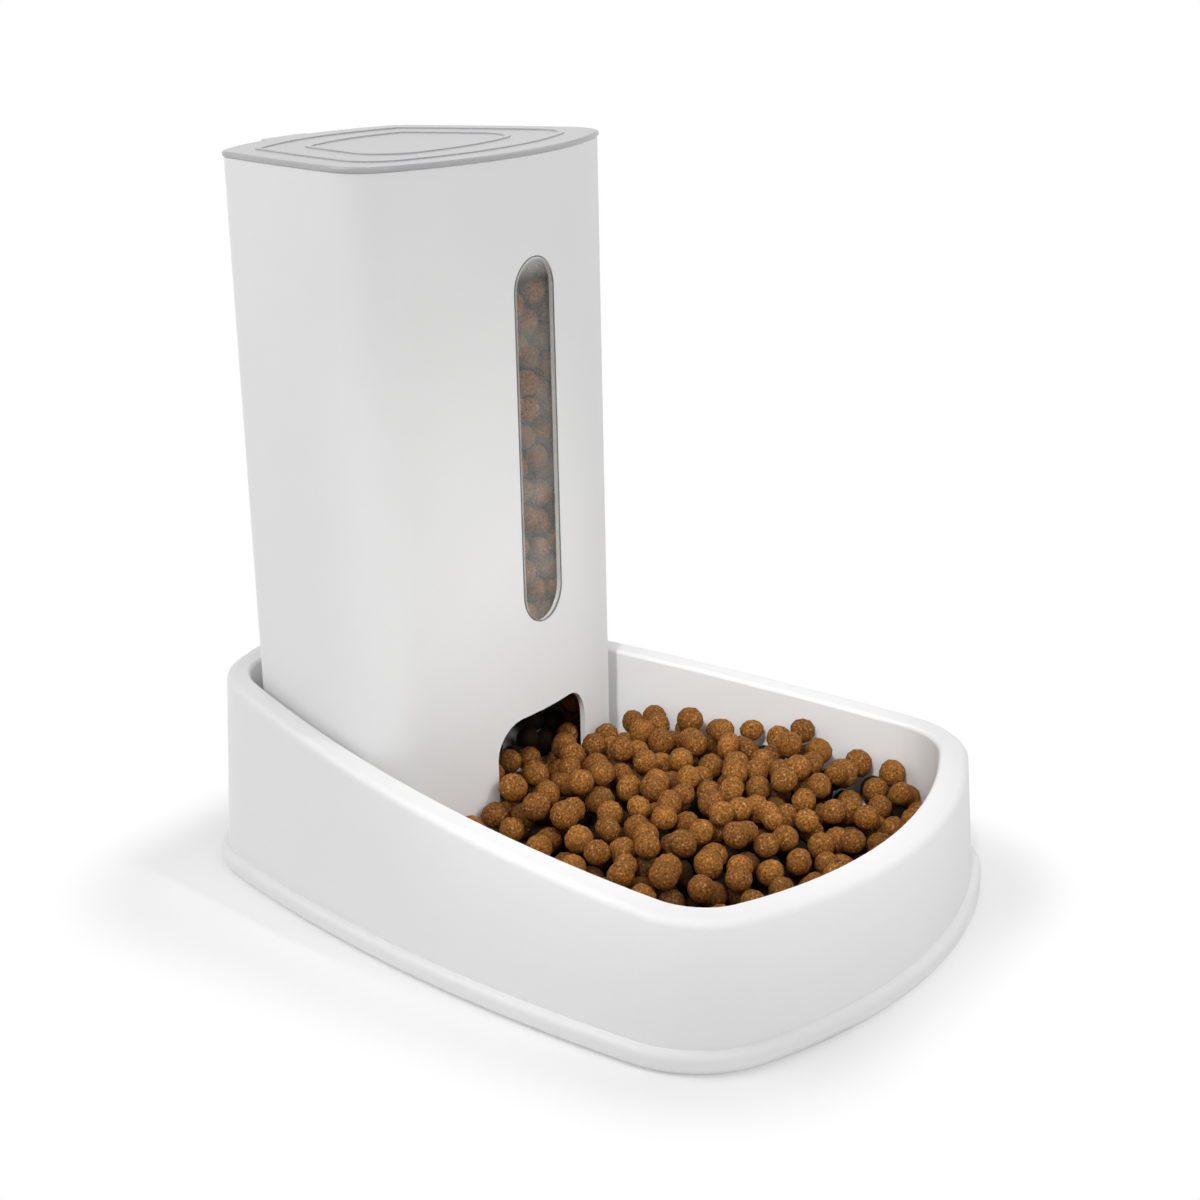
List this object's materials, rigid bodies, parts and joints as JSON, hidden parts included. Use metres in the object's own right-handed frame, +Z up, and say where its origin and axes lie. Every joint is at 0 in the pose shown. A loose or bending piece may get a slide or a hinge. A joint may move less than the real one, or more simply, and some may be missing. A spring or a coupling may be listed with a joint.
{
  "type": "automatic pet feeder",
  "caption": "Gravity dry-food pet feeder: a hopper with a slot window and lift-off lid stands in a tray with a sloping rim and fills its bowl through an arch.",
  "frame": {"origin": "centre of the tray's footprint on the ground, under the rubber feet", "axes": "+Z up, -Y towards the bowl and the window, +X to the feeder's right seen from the front"},
  "size_m": [0.2192, 0.3064, 0.2885],
  "materials": {
    "white_plastic": "satin moulded polypropylene",
    "lid_plastic": "soft matt polyethylene, light grey",
    "clear_plastic": "clear, slightly hazy polystyrene",
    "rubber": "matt"
  },
  "bodies": {
    "tray": {"tray": "white_plastic", "foot_front_left": "rubber", "foot_front_right": "rubber", "foot_back_left": "rubber", "foot_back_right": "rubber"},
    "hopper": {"hopper": "white_plastic", "hopper_floor": "white_plastic", "window": "clear_plastic"},
    "lid": {"lid": "lid_plastic"}
  },
  "joints": [
    {"name": "hopper_lift", "type": "slide", "parent": "tray", "child": "hopper", "axis": [0, 0, 1], "range_m": [0, 0.1]},
    {"name": "lid_lift", "type": "slide", "parent": "hopper", "child": "lid", "axis": [0, 0, 1], "range_m": [0, 0.06]}
  ]
}
